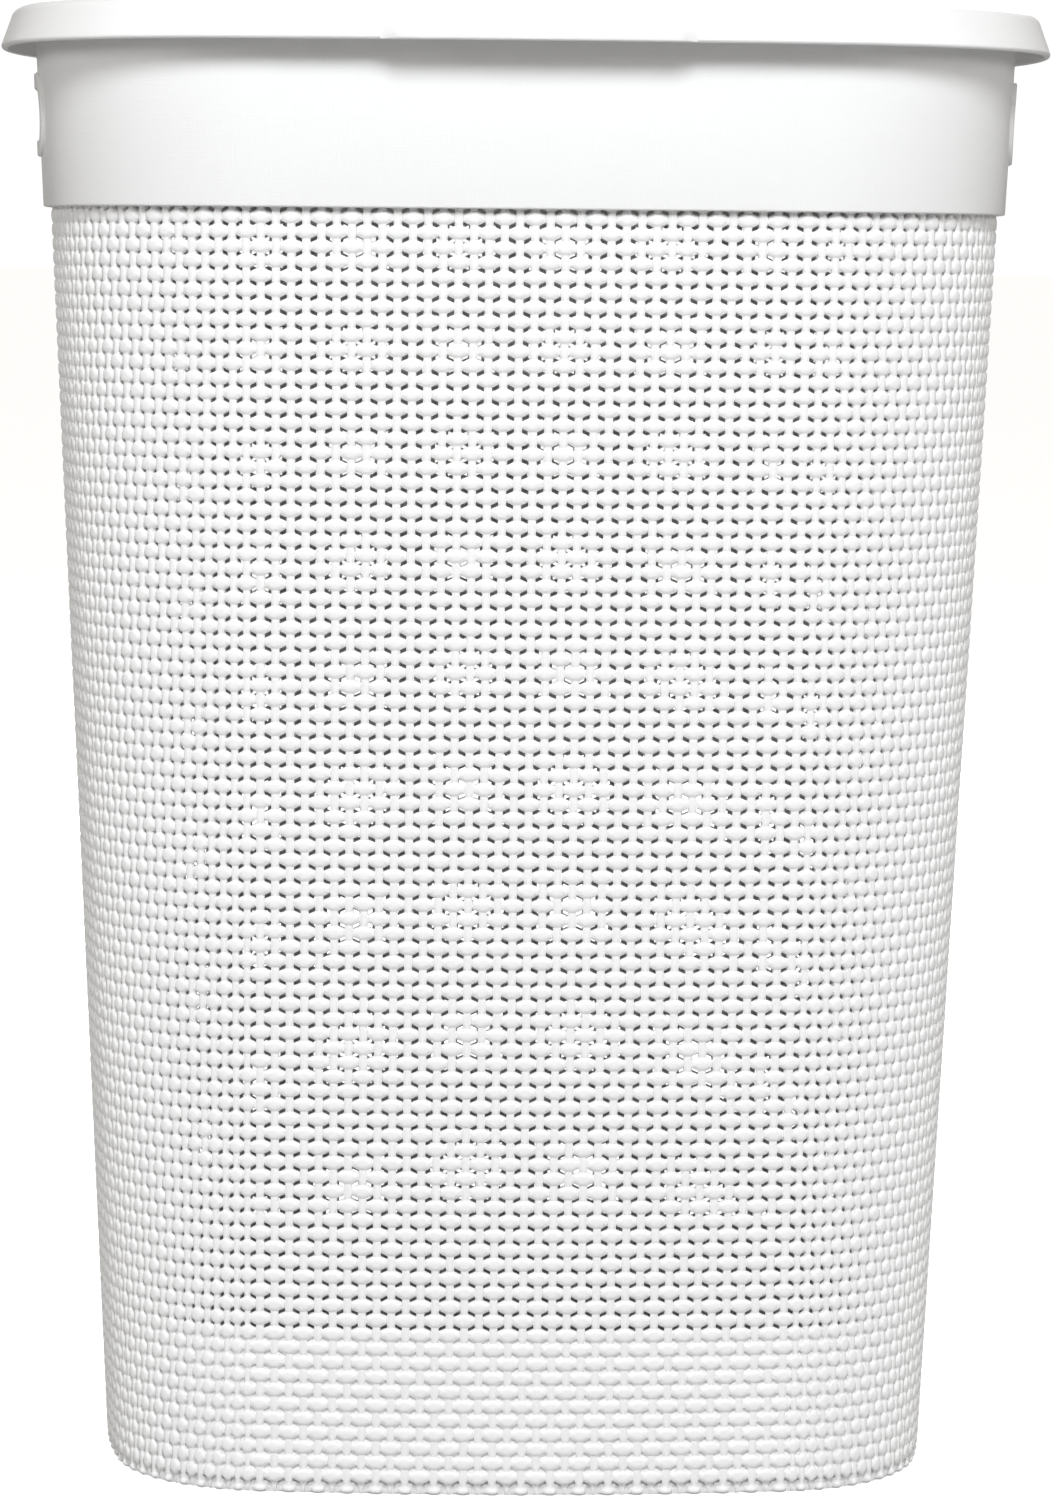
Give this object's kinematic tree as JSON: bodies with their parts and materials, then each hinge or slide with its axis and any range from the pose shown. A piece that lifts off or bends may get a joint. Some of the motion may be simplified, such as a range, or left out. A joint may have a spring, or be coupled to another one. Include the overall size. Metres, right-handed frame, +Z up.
{
  "type": "laundry hamper with lid",
  "caption": "Tall tapered laundry hamper with woven-pattern walls, a smooth rim band with side hand holes, and a rear-hinged lid.",
  "frame": {"origin": "middle of the footprint, on the floor that the hamper stands on", "axes": "+Z up, -Y towards the front with the finger pull, +X to the right seen from the front"},
  "size_m": [0.4376, 0.3383, 0.598],
  "materials": {
    "weave_plastic": "matte",
    "smooth_plastic": "satin",
    "pin_plastic": "satin"
  },
  "bodies": {
    "hamper": {"woven_shell": "weave_plastic", "base_tray": "smooth_plastic", "rim_collar": "smooth_plastic", "handle_surround_left": "smooth_plastic", "handle_surround_right": "smooth_plastic", "hinge_pin_left": "pin_plastic", "hinge_pin_right": "pin_plastic"},
    "lid": {"lid_shell": "smooth_plastic"}
  },
  "joints": [
    {"name": "lid_hinge", "type": "hinge", "parent": "hamper", "child": "lid", "pos_m": [0, 0.1591, 0.586], "axis": [-1, 0, 0], "range_deg": [0, 105]}
  ]
}
